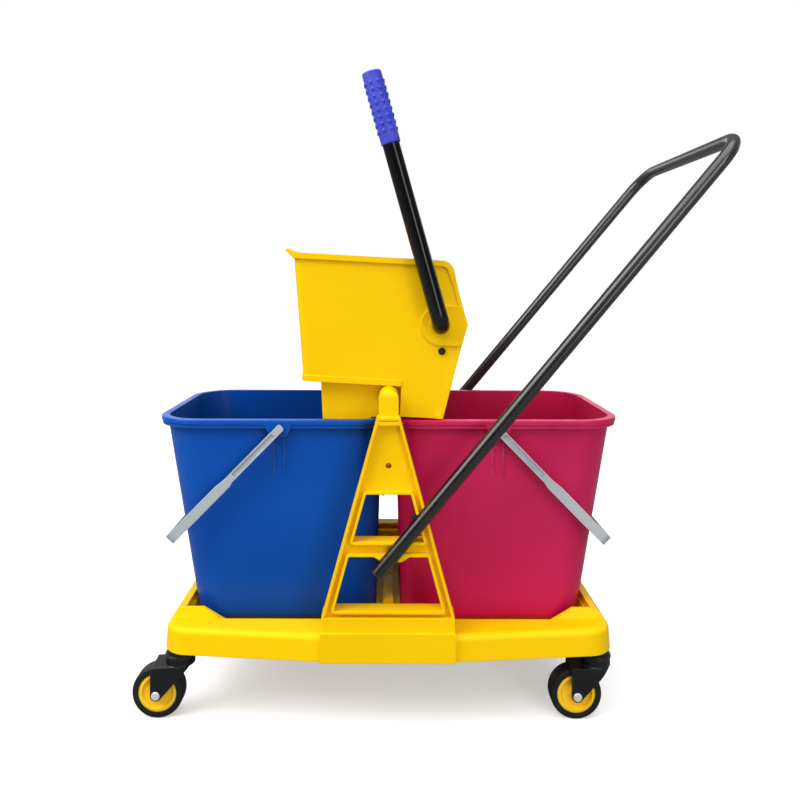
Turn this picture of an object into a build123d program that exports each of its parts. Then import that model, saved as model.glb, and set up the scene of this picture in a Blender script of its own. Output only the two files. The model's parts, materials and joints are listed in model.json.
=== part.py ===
from build123d import *
from math import acos, cos, pi, radians, sin, sqrt, tan
import os

# Double-bucket mop trolley with a geared wringer. Millimetres and degrees.
# Origin on the floor under the trolley's centre, +X toward the push handle, +Z up.

# Fits
RUN_FIT = 0.05            # radial clearance of anything that turns
SEAT_GAP = 0.3            # air under a piece that rests on another body
SIDE_GAP = 0.4            # end clearance of anything that turns
SCREW_ROOM = 0.5          # hole round a screw's head
BITE = 1.0                # how far a form reaches into what it is fused to or cut from

# Casters
WHEEL_R = 38.0
TYRE_W = 26.0
HUB_R = 28.5
HUB_WEB = 9.0
HUB_BOSS_R = 10.0
HUB_RING_W = 5.0
HUB_FLARE = 2.0           # slope of the hub's boss and ring
HUB_DISH = 1.0            # fall of the hub's face
HUB_SET = 0.5             # ring inside the tyre's face
TYRE_EDGE = 4.0           # rounding of the tread's edges
AXLE_R = 4.0
AXLE_HEAD_R = 6.4
AXLE_HEAD_H = 4.0
HEAD_ROUND = 1.6          # rounding of a bolt's head
CASTER_INSET = 21.0       # swivel axis from the deck's end
CASTER_Y = 150.0
TRAIL = 31.5
FORK_CLEAR = 2.0          # tyre to fork cheek
FORK_HEAD_H = 15.0
HEAD_ROOT = 4.0           # head fused into the hood
HEAD_STEP = 1.0           # head's rim stands this far out
HEAD_RIM_H = 4.0
WHEEL_ROOM = 3.0          # tyre to hood
FORK_T = 4.0
RACE_R = 21.5
RACE_H = 6.0
RACE_IN = 2.0             # raceway plate inside the fork's head
CHEEK_R = 9.0             # round foot of a fork cheek
CHEEK_TOP = 38.0          # cheek's ledge above the axle
CHEEK_RISE = 3.0          # ledge's slope up to the head
CHEEK_CROWN = 8.0         # top of a cheek above its ledge
CHEEK_BEND = 28.1         # bend in the front edge, above the axle
HOOD_TOP = 52.0           # hood above the axle
HOOD_STEP = 1.5           # hood stands this far into the cheeks
HOOD_IN = 1.0             # hood's rear edge inside the cheeks'
KINGPIN_R = 7.0
KINGPIN_CAP = 3.0         # head under the fork
KINGPIN_ROOM = 1.5
STEM_R = 6.0
STEM_L = 26.0

# Base deck
DECK_Z = 107.0
DECK_HALF_L = 333.0
DECK_END_HALF_W = 184.0
DECK_MID_HALF_W = 205.0
DECK_CORNER_R = 40.0
DECK_DRAFT = 4.0
DECK_WALL = 4.0
DECK_EDGE_R = 9.0
RAIL_H = 36.5
WELL_UP = 23.0            # well floor above the underside
WELL_LEAD_END = 3.0       # lead-in of the well at its ends
WELL_LEAD_SIDE = 24.0     # lead-in of the well along its sides
WELL_FIT = 1.2
WELL_CORNER_R = 16.0
PAD_H = 12.0              # banks at the ends above the rails
PAD_EDGE = 7.0            # foot of a bank from the end of the base
PAD_BATTER = 9.0          # how far a bank leans in
PAD_IN = 308.0            # inner face of a bank
PAD_TIP = 280.0           # top of a bank's short arms
PAD_RAMP = 20.0
PAD_HALF_W = 139.0        # outer faces of the arms, at their tops
PAD_T = 5.0
BLOCK_HALF_L = 97.0
BLOCK_Y = 210.0
BLOCK_DEPTH = 52.0
BLOCK_RISE = 5.5          # centre blocks above the rails
RIDGE_W = 16.0
RIDGE_H = 10.0
RIDGE_L = 48.0
RIDGE_PITCH = 54.0
RIDGES = 4
DECK_RIB_T = 3.0
DECK_RIB_UP = 2.0         # ribs end short of the underside
DECK_RIBS = 3             # cross ribs under each well
DECK_RIB_PITCH = 83.5
STEM_BOSS_T = 11.5

# Buckets
RIM_Z = 443.0
RIM_FLANGE = 9.0
RIM_SKIRT = 12.5
RIM_BEAD_H = 6.5
RIM_STEP = 1.6            # skirt of the rim set back from its bead
RIM_T = 3.0
RIM_SKIRT_T = 2.4
RIM_EDGE_R = 2.1
BUCKET_WALL = 3.0
BUCKET_IN_TOP = 11.0      # inner end wall, from the trolley's centre
BUCKET_OUT_TOP = 348.5
BUCKET_HALF_TOP = 146.0
BUCKET_IN_FOOT = 20.0
BUCKET_OUT_FOOT = 300.5
BUCKET_HALF_FOOT = 125.0
BUCKET_FOOT_R = 10.0      # rounding round the floor
CORNER_IN_R = 36.0
CORNER_OUT_R = 58.0
CORNER_SHRINK = 6.0       # corner radius lost between rim and foot
BAIL_X = 166.0
BAIL_DROP = 15.0          # bail pivot below the rim's top
BOSS_TOP_W = 43.0
BOSS_FOOT_W = 25.0
BOSS_H = 22.0
BOSS_RIB_GAP = 16.0
BOSS_RIB_T = 2.4
BOSS_RIB_H = 60.0
BOSS_RIB_PROUD = 2.0

# Bails
BAIL_PIN_R = 4.0
BAIL_GAP = 2.0            # bail arm to rim
BAIL_T = 5.0
BAIL_NARROW = 11.5
BAIL_WIDE = 15.5
BAIL_STEP = 109.0         # where the arm widens, from the pivot
BAIL_EYE = 9.0            # end of the strap beyond its pin
BAIL_EYE_CUT = 2.5
BAIL_CORNER_R = 14.0
BAIL_GROOVE = 1.8
BAIL_GROOVE_W = 7.0
BAIL_PIN_GAP = 1.5
BAIL_ANGLE = 45.5         # arm below the horizontal at rest

# Stands
STAND_FRONT = 205.0
STAND_BACK = 178.0
STAND_WEB = 5.0
STAND_RIB = 4.0
STAND_FOOT_HALF = 96.0
STAND_FOOT_H = 20.0
STAND_FOOT_IN = 164.0
STAND_FOOT_R = 4.0
STAND_SCREW_X = 57.6
STAND_SCREW_IN = 12.5     # screws from the side of the base
STAND_SLOPE = 0.2743      # half-width lost per millimetre of height
STAND_LEG_W = 14.5
LEG_FOOT_Z = 167.0
WINDOW_LOW_Z = 179.0
WINDOW_LOW_H = 78.0
WINDOW_HIGH_Z = 278.0
WINDOW_HIGH_H = 68.5
WINDOW_R = 1.2
PANEL_HOLE_Z = 385.0
PANEL_HOLE_R = 4.5
SHOULDER_Z = 456.0
POST_HALF = 14.5
POST_FRONT = 191.0
POST_IN = 134.0
POST_TOP = 494.0
POST_NOSE_R = 12.0
POST_RIM_CLEAR = 4.0
POST_ROOT = 36.0          # post fused to the web this far down
POST_BEVEL = 6.0
LUG_DROP = 7.0
LUG_HALF_TOP = 27.0
LUG_HALF_FOOT = 14.0
CHANNEL_L = 240.0         # how far up the handle's channel runs

# Push handle
HANDLE_R = 10.0
HANDLE_WALL = 1.5
HANDLE_X = -15.0
HANDLE_Z = 233.0
HANDLE_Y = 205.0
HANDLE_SLOPE = 50.3
HANDLE_L = 819.5
HANDLE_BEND_R = 50.0
HANDLE_FIT = 0.2
BUTTON_R = 3.8
BUTTON_PROUD = 6.0
BUTTON_ROUND = 2.3
BUTTON_AT = 96.0
BUTTON_ROOM = 0.8
PLUG_L = 14.0
PLUG_CAP = 2.0
SCREW_R = 2.5
SCREW_HEAD_R = 5.0
SCREW_HEAD_H = 3.0
SCREW_L = 15.0

# Wringer shell, drawn upright and then tilted about its seat on the posts
TILT = 3.0
W_WALL = 3.2
W_HALF = 147.0
W_RECESS_HALF = 131.5
W_TOP = 687.5
W_LEDGE_X = 19.0          # right end of the recess over the posts
W_LEFT_TOP = -155.0
W_LEFT_LEDGE = -130.0
W_SKIRT_TOP = -104.0
W_SKIRT_FOOT = -97.0
W_FLOOR_X = -24.0         # left part of the floor drops between the posts
W_CHUTE_X = -14.5         # and goes on to here, clear of the bucket's corners
W_CHUTE_HALF = 117.0
W_FLOOR_FALL = 8.0
W_FLOOR_CLEAR = 5.6       # deep part of the floor above the buckets' rims
W_SKIRT_DROP = 20.6       # left end of the floor below its deep part
W_RIGHT_FOOT = 84.0
W_SKIRT_RIGHT = 64.0      # skirt fused to the deep part up to here
W_SIDE_X = 107.6          # right edge, from its foot up
W_SIDE_DROP = 122.8       # heights there, down from the top
W_KINK_X = 114.2
W_KINK_DROP = 95.5
W_NECK_X = 97.3
W_NECK_DROP = 44.2
W_RIGHT_TOP = 85.2
W_CORNER_R = 10.0
W_RIM_PROUD = 4.0
W_RIM_H = 9.0
W_TOP_R = 20.0            # upper right corner
W_LIP_X = -165.0
W_LIP_RISE = 5.5
W_LIP_SLANT = 1.5
W_LIP_ROOT = 4.0
W_FOOT_BEAD_H = 9.0       # bead along the ledge
W_FOOT_BEAD = 1.8
W_BOSS_R = 30.0
W_BOSS_H = 4.0
W_BORDER = 6.0
W_BORDER_H = 2.4
DRAIN_W = 7.0
DRAIN_PITCH = 20.0
DRAINS = 11
DRAIN_MARGIN = 14.0       # drain slots to the end walls

# Lever, gears and press plate
LEVER_X = 73.3
LEVER_DROP = 98.0         # shaft below the top of the wringer
GEAR_LEAN = 5.9           # plate axis off straight below the lever axis
LEVER_R = 13.0
LEVER_WALL = 1.6
LEVER_LEAN = 15.75
LEVER_L = 387.0
LEVER_Y = 174.0
LEVER_BEND_R = 18.0
GRIP_L = 108.0
GRIP_T = 2.4
GRIP_END = 3.0
GRIP_ROUND = 4.0
CAP_T = 3.0               # cap on the rear end of the shaft
CAP_PROUD = 3.5
CAP_PLUG = 8.0
SHAFT_OUT = 4.0           # shaft beyond its rear bush
BUSH_T = 2.5
BUSH_FLANGE_R = 17.5
BUSH_FLANGE_T = 1.5
GEAR_TEETH = 13
GEAR_MODULE = 3.0
GEAR_PRESSURE = 20.0
GEAR_BACKLASH = 0.4       # taken off each tooth
GEAR_W = 13.0
GEAR_Y = 123.0            # inner face of the gears
PINION_HUB_R = 18.0
PINION_PIN_R = 2.0
PIVOT_R = 4.0
PIVOT_HEAD_R = 5.6
PIVOT_HEAD_H = 3.5
PIVOT_ROUND = 1.2
PLATE_SET = 24.0          # press plate's back face left of its axis
PLATE_T = 4.5
PLATE_HALF = 121.0
PLATE_UP = 127.0
PLATE_DOWN = 3.0
PLATE_RIB_H = 5.0
PLATE_RIB_T = 3.0
PLATE_COLUMNS = 9
PLATE_PITCH = 26.0
PLATE_ROWS = 3
PLATE_ROW_PITCH = 36.8
PLATE_ROW_UP = 30.5       # middle of the lowest row of slots
PLATE_CORNER_R = 8.0
PLATE_MARGIN = 4.0        # ribs to the plate's edges
PLATE_SLOT_W = 9.0
PLATE_SLOT_L = 30.0
EAR_FOOT_T = 6.0
EAR_FOOT_H = 26.0
EAR_FOOT_Y = 104.0
EAR_SCREW_UP = 7.8        # lower screw above the foot's end
EAR_SCREW_PITCH = 10.9
EAR_ARM_UP = 9.0
EAR_ARM_DOWN = 11.0
PLATE_SCREW_HEAD_R = 4.5
PLATE_SCREW_HEAD_H = 2.0

# Heights and places that follow from the sizes above
CASTER_X = DECK_HALF_L - CASTER_INSET
RAIL_Z = DECK_Z + RAIL_H
WELL_Z = DECK_Z + WELL_UP
BLOCK_Z = RAIL_Z + BLOCK_RISE
PAD_Z = RAIL_Z + PAD_H
BAIL_Z = RIM_Z - BAIL_DROP
RIM_Y = BUCKET_HALF_TOP + RIM_FLANGE
WEB_FRONT = HANDLE_Y - HANDLE_R - HANDLE_FIT
WEB_BACK = WEB_FRONT - STAND_WEB
WINDOW_LOW = (WINDOW_LOW_Z, WINDOW_LOW_Z + WINDOW_LOW_H)
WINDOW_HIGH = (WINDOW_HIGH_Z, WINDOW_HIGH_Z + WINDOW_HIGH_H)
LEDGE_Z = POST_TOP + SEAT_GAP
W_FLOOR_Z = RIM_Z + W_FLOOR_CLEAR
W_SKIRT_Z = W_FLOOR_Z - W_SKIRT_DROP
W_RIGHT_SIDE = (W_SIDE_X, W_TOP - W_SIDE_DROP)
W_RIGHT_KINK = (W_KINK_X, W_TOP - W_KINK_DROP)
W_RIGHT_NECK = (W_NECK_X, W_TOP - W_NECK_DROP)
W_LIP = (W_LIP_X, W_TOP + W_LIP_RISE)
LEVER_AXIS = (LEVER_X, W_TOP - LEVER_DROP)
GEAR_PITCH_R = GEAR_TEETH * GEAR_MODULE / 2
PLATE_AXIS = (LEVER_AXIS[0] + 2 * GEAR_PITCH_R * sin(radians(GEAR_LEAN)),
              LEVER_AXIS[1] - 2 * GEAR_PITCH_R * cos(radians(GEAR_LEAN)))
BOSS_Y = W_HALF + W_BOSS_H
INNER_Y = W_HALF - W_WALL
AXLE_Z = WHEEL_R
FORK_IN = TYRE_W / 2 + FORK_CLEAR
FORK_OUT = FORK_IN + FORK_T


def box(x0, x1, y0, y1, z0, z1):
    """Box between two corners."""
    return Pos((x0 + x1) / 2, (y0 + y1) / 2, (z0 + z1) / 2) * Box(x1 - x0, y1 - y0, z1 - z0)


def rod(start, end, radius):
    """Cylinder between two points."""
    start = Vector(*start)
    run = Vector(*end) - start
    foot = (Align.CENTER, Align.CENTER, Align.MIN)
    return Plane(start, z_dir=run) * Cylinder(radius, run.length, align=foot)


def polygon(points):
    """Flat face inside a closed run of straight edges."""
    return make_face(Polyline(*points, close=True)).face()


def prism_xz(points, y0, y1):
    """Side outline pushed across the trolley."""
    face = polygon([(x, y0, z) for x, z in points])
    return extrude(face, y1 - y0, dir=(0, 1, 0))


def prism_yz(points, x0, x1):
    """End outline pushed along the trolley."""
    face = polygon([(x0, y, z) for y, z in points])
    return extrude(face, x1 - x0, dir=(1, 0, 0))


def both_sides(piece):
    """The piece and its twin on the other side of the trolley."""
    return [piece, mirror(piece, about=Plane.XZ)]


def plan(x0, x1, half, r_in, r_out, z):
    """Plan outline of a bucket or a well, with its own corner radius at each end."""
    corners = [(x0, -half, z), (x1, -half, z), (x1, half, z), (x0, half, z)]
    face = polygon(corners)
    middle = (x0 + x1) / 2
    inner = [v for v in face.vertices() if v.X < middle]
    face = face.fillet_2d(r_in, inner)
    outer = [v for v in face.vertices() if v.X > x1 - BITE]
    return face.fillet_2d(r_out, outer)


def bucket_plan(z, grow):
    """Outline of the bucket's wall at height z, grown by some distance."""
    share = (RIM_Z - z) / (RIM_Z - WELL_Z)
    x0 = BUCKET_IN_TOP + share * (BUCKET_IN_FOOT - BUCKET_IN_TOP)
    x1 = wall_x(z)
    r_in = CORNER_IN_R - CORNER_SHRINK * share
    r_out = CORNER_OUT_R - CORNER_SHRINK * share
    return plan(x0 - grow, x1 + grow, wall_y(z) + grow, r_in + grow, r_out + grow, z)


def bucket_body(grow, low):
    """Tapered body of the bucket from some height up to its rim, rounded round the floor."""
    body = loft([bucket_plan(low, grow), bucket_plan(RIM_Z, grow)], ruled=True)
    return fillet(body.edges().group_by(Axis.Z)[0], BUCKET_FOOT_R + grow)


def wall_y(z):
    """Where the bucket's side wall is at height z."""
    share = (RIM_Z - z) / (RIM_Z - WELL_Z)
    return BUCKET_HALF_TOP + share * (BUCKET_HALF_FOOT - BUCKET_HALF_TOP)


def wall_x(z):
    """Where the bucket's outer end wall is at height z."""
    share = (RIM_Z - z) / (RIM_Z - WELL_Z)
    return BUCKET_OUT_TOP + share * (BUCKET_OUT_FOOT - BUCKET_OUT_TOP)


def make_bucket():
    """Bucket on the right, with its rolled rim and the bosses that carry the bail."""
    bead = extrude(bucket_plan(RIM_Z, RIM_FLANGE), -RIM_BEAD_H, dir=(0, 0, 1))
    bead = fillet(bead.edges().group_by(Axis.Z)[-1], RIM_EDGE_R)
    top = RIM_Z - RIM_T
    skirt_out = RIM_FLANGE - RIM_STEP
    skirt = Pos(0, 0, -RIM_T) * extrude(bucket_plan(RIM_Z, skirt_out), RIM_T - RIM_SKIRT, dir=(0, 0, 1))
    under = extrude(bucket_plan(RIM_Z, skirt_out - RIM_SKIRT_T), -RIM_SKIRT, dir=(0, 0, 1))
    under = Pos(0, 0, -RIM_T) * under
    body = bead + skirt - under + bucket_body(0, WELL_Z)
    foot = top - BOSS_H
    boss_plan = [(BAIL_X - BOSS_TOP_W / 2, top), (BAIL_X + BOSS_TOP_W / 2, top),
                 (BAIL_X + BOSS_FOOT_W / 2, foot), (BAIL_X - BOSS_FOOT_W / 2, foot)]
    boss = prism_xz(boss_plan, -RIM_Y, -wall_y(foot) + BUCKET_WALL / 2)
    ribs = []
    low = foot - BOSS_RIB_H
    run = [(-wall_y(foot) - BOSS_RIB_PROUD, foot), (-wall_y(foot) + BITE, foot),
           (-wall_y(low) + BITE, low), (-wall_y(low) - BOSS_RIB_PROUD / 2, low)]
    for side in (-1, 1):
        x = BAIL_X + side * BOSS_RIB_GAP / 2
        ribs.append(prism_yz(run, x - BOSS_RIB_T / 2, x + BOSS_RIB_T / 2))
    for side in both_sides(boss + ribs[0] + ribs[1]):
        body = body + side
    hole = rod((BAIL_X, -RIM_Y, BAIL_Z), (BAIL_X, -BUCKET_HALF_TOP, BAIL_Z), BAIL_PIN_R + RUN_FIT)
    for side in both_sides(hole):
        body = body - side
    inside = bucket_body(-BUCKET_WALL, WELL_Z + BUCKET_WALL)
    return body - inside


def make_bail():
    """Bail of the right bucket: a strap bent into a U with a pin at each end."""
    inner = RIM_Y + BAIL_GAP
    outer = inner + BAIL_T
    edge = BAIL_WIDE / 2
    down = radians(BAIL_ANGLE)
    # The crossbar's lower edge comes to rest against the bucket's sloping end wall.
    slope = (BUCKET_OUT_TOP - BUCKET_OUT_FOOT) / (RIM_Z - WELL_Z)
    start = wall_x(BAIL_Z - edge * cos(down)) - BAIL_X + edge * sin(down)
    reach = (start + SEAT_GAP) / (cos(down) + slope * sin(down))
    end = reach + BAIL_T
    outline = polygon([(-BAIL_EYE, -outer, 0), (end, -outer, 0), (end, outer, 0), (-BAIL_EYE, outer, 0)])
    outline = outline.fillet_2d(BAIL_CORNER_R, [v for v in outline.vertices() if v.X > 0])
    back = -2 * BAIL_EYE
    hollow = polygon([(back, -inner, 0), (reach, -inner, 0), (reach, inner, 0), (back, inner, 0)])
    hollow = hollow.fillet_2d(BAIL_CORNER_R - BAIL_T, [v for v in hollow.vertices() if v.X > 0])
    strap = extrude(outline - hollow, edge, both=True)
    half = BAIL_NARROW / 2
    tip = -BAIL_EYE
    cut = tip + BAIL_EYE_CUT
    far = end + BITE
    side = [(cut, half), (BAIL_STEP, half), (BAIL_STEP + BAIL_WIDE, edge), (far, edge),
            (far, -edge), (BAIL_STEP, -edge), (BAIL_STEP - BAIL_WIDE / 2, -half), (cut, -half),
            (tip, BAIL_EYE_CUT - half), (tip, half - BAIL_EYE_CUT)]
    strap = strap & prism_xz(side, -outer, outer)
    groove = box(BAIL_EYE, BAIL_STEP - BAIL_WIDE, -outer, -outer + BAIL_GROOVE, -BAIL_GROOVE_W / 2,
                 BAIL_GROOVE_W / 2)
    for piece in both_sides(groove):
        strap = strap - piece
    pin_end = BUCKET_HALF_TOP + BAIL_PIN_GAP
    for pin in both_sides(rod((0, -inner, 0), (0, -pin_end, 0), BAIL_PIN_R)):
        strap = strap + pin
    return Pos(BAIL_X, 0, BAIL_Z) * Rot(0, BAIL_ANGLE, 0) * strap


def deck_plan(inset, z):
    """Plan outline of the base: bowed sides and rounded ends."""
    end_w = DECK_END_HALF_W - inset
    mid_w = DECK_MID_HALF_W - inset
    half_l = DECK_HALF_L - inset
    right = [(BLOCK_HALF_L, -mid_w), (half_l, -end_w), (half_l, end_w), (BLOCK_HALF_L, mid_w)]
    points = right + [(-x, -y) for x, y in right]
    face = polygon([(x, y, z) for x, y in points])
    corners = [v for v in face.vertices() if abs(v.X) > BLOCK_HALF_L + BITE]
    return face.fillet_2d(DECK_CORNER_R - inset, corners)


def well(grow, low, high):
    """Right-hand well that a bucket stands in, opening out toward its top."""
    x0 = BUCKET_IN_FOOT - WELL_FIT
    x1 = BUCKET_OUT_FOOT + WELL_FIT + grow
    half = BUCKET_HALF_FOOT + WELL_FIT + grow
    r_in = CORNER_IN_R - CORNER_SHRINK + grow
    floor = plan(x0 - grow, x1, half, r_in, WELL_CORNER_R + grow, low)
    mouth = plan(x0 - grow, x1 + WELL_LEAD_END, half + WELL_LEAD_SIDE, r_in, WELL_CORNER_R + grow, high)
    return loft([floor, mouth], ruled=True)


def pads():
    """Banks round the outer ends of the wells, with short arms that ramp down onto the rails."""
    low = WELL_Z - DECK_WALL / 2
    drop = (PAD_Z - low) / PAD_H
    out = DECK_HALF_L - PAD_EDGE
    side = [(PAD_TIP - PAD_RAMP * drop, low), (out, low), (out, RAIL_Z), (out - PAD_BATTER, PAD_Z),
            (PAD_TIP, PAD_Z)]
    across = PAD_HALF_W + PAD_BATTER * drop / 2
    end = [(-across, low), (across, low), (PAD_HALF_W, PAD_Z), (-PAD_HALF_W, PAD_Z)]
    bank = prism_xz(side, -DECK_END_HALF_W, DECK_END_HALF_W) & prism_yz(end, 0, DECK_HALF_L)
    room = PAD_HALF_W - PAD_T
    bank = bank - box(0, PAD_IN, -room, room, 0, PAD_Z + BITE)
    return bank + mirror(bank, about=Plane.YZ)


def make_deck():
    """Moulded base tray: two wells, hollow rails, banks at the ends and blocks for the stands."""
    deck = extrude(deck_plan(0, DECK_Z), RAIL_H, taper=DECK_DRAFT)
    deck = fillet(deck.edges().group_by(Axis.Z)[-1], DECK_EDGE_R)
    block = box(-BLOCK_HALF_L, BLOCK_HALF_L, -BLOCK_Y, BLOCK_DEPTH - BLOCK_Y, DECK_Z, BLOCK_Z)
    for side in both_sides(block):
        deck = deck + side
    well_right = well(0, WELL_Z, RAIL_Z)
    wells = well_right + mirror(well_right, about=Plane.YZ)
    shell_right = well(DECK_WALL, WELL_Z - DECK_WALL, RAIL_Z)
    shells = shell_right + mirror(shell_right, about=Plane.YZ)
    deck = deck - wells + pads()

    # Hollow underside: a shallow space below the wells and deep ones inside the rails and blocks.
    under = extrude(deck_plan(DECK_WALL, DECK_Z), WELL_UP - DECK_WALL, taper=DECK_DRAFT)
    rails = extrude(deck_plan(DECK_WALL, DECK_Z), RAIL_H - DECK_WALL, taper=DECK_DRAFT) - shells
    inside = BLOCK_HALF_L - DECK_WALL
    room = box(-inside, inside, DECK_WALL - BLOCK_Y, BLOCK_DEPTH - DECK_WALL - BLOCK_Y, DECK_Z,
               BLOCK_Z - DECK_WALL)
    for side in both_sides(room):
        rails = rails + (side - shells)
    deck = deck - under - rails
    foot = DECK_Z + DECK_RIB_UP
    across = DECK_END_HALF_W - DECK_WALL
    along = DECK_HALF_L - DECK_WALL
    roof = WELL_Z - DECK_WALL
    for i in range(-DECK_RIBS, DECK_RIBS + 1):
        if i:
            x = i * DECK_RIB_PITCH
            deck = deck + box(x - DECK_RIB_T / 2, x + DECK_RIB_T / 2, -across, across, foot, roof)
    for y in (-BUCKET_HALF_FOOT / 2, BUCKET_HALF_FOOT / 2):
        deck = deck + box(-along, along, y - DECK_RIB_T / 2, y + DECK_RIB_T / 2, foot, roof)

    # Ridge along the bridge between the buckets, in short lengths.
    for i in range(RIDGES):
        y = (i - (RIDGES - 1) / 2) * RIDGE_PITCH
        deck = deck + box(-RIDGE_W / 2, RIDGE_W / 2, y - RIDGE_L / 2, y + RIDGE_L / 2, RAIL_Z - DECK_WALL,
                          RAIL_Z + RIDGE_H)

    # Sockets for the caster stems.
    inner = extrude(deck_plan(BITE, DECK_Z), RAIL_H, taper=DECK_DRAFT) - wells
    for x in (-CASTER_X, CASTER_X):
        for y in (-CASTER_Y, CASTER_Y):
            boss = rod((x, y, DECK_Z), (x, y, RAIL_Z - DECK_WALL + BITE), STEM_R + STEM_BOSS_T)
            deck = deck + (boss & inner)
            deck = deck - rod((x, y, DECK_Z - BITE), (x, y, DECK_Z + STEM_L + BITE), STEM_R)
    for x, y in stand_screw_places():
        deck = deck - rod((x, y, BLOCK_Z - 2 * DECK_WALL), (x, y, BLOCK_Z + BITE), SCREW_R)
    return deck


def stand_screw_places():
    """Where the screws come up through the base into the feet of the stands."""
    y = DECK_MID_HALF_W - STAND_SCREW_IN
    return [(x, side * y) for x in (-STAND_SCREW_X, STAND_SCREW_X) for side in (-1, 1)]


def make_stand_screws():
    """Screws that hold the stands, heads up inside the hollow blocks."""
    screws = []
    seat = BLOCK_Z - DECK_WALL
    for x, y in stand_screw_places():
        head = rod((x, y, seat - SCREW_HEAD_H), (x, y, seat), SCREW_HEAD_R)
        screws.append(head + rod((x, y, seat), (x, y, seat + SCREW_L), SCREW_R))
    return Compound(screws)


def half_width(z):
    """Half the width of a stand at height z."""
    return STAND_FOOT_HALF - (z - LEG_FOOT_Z) * STAND_SLOPE


def window(low, high):
    """Opening between the legs of a stand."""
    a = half_width(low) - STAND_LEG_W
    b = half_width(high) - STAND_LEG_W
    face = polygon([(-a, 0, low), (a, 0, low), (b, 0, high), (-b, 0, high)])
    return face.fillet_2d(WINDOW_R, face.vertices())


def handle_point(along, out=0.0):
    """Point on the handle's front leg, some way up it and off to its upper left."""
    slope = radians(HANDLE_SLOPE)
    x = HANDLE_X + along * cos(slope) - out * sin(slope)
    z = HANDLE_Z + along * sin(slope) + out * cos(slope)
    return (x, -HANDLE_Y, z)


def handle_screw_places():
    """Screws into the handle, one at the crossbar and one at the leg."""
    slope = radians(HANDLE_SLOPE)
    bar = (WINDOW_LOW[1] + WINDOW_HIGH[0]) / 2
    at_bar = (bar - HANDLE_Z) / sin(slope)
    reach = half_width(HANDLE_Z) - STAND_LEG_W / 2 - HANDLE_X
    at_leg = reach / (cos(slope) + STAND_SLOPE * sin(slope))
    return [handle_point(at_bar), handle_point(at_leg)]


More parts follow.
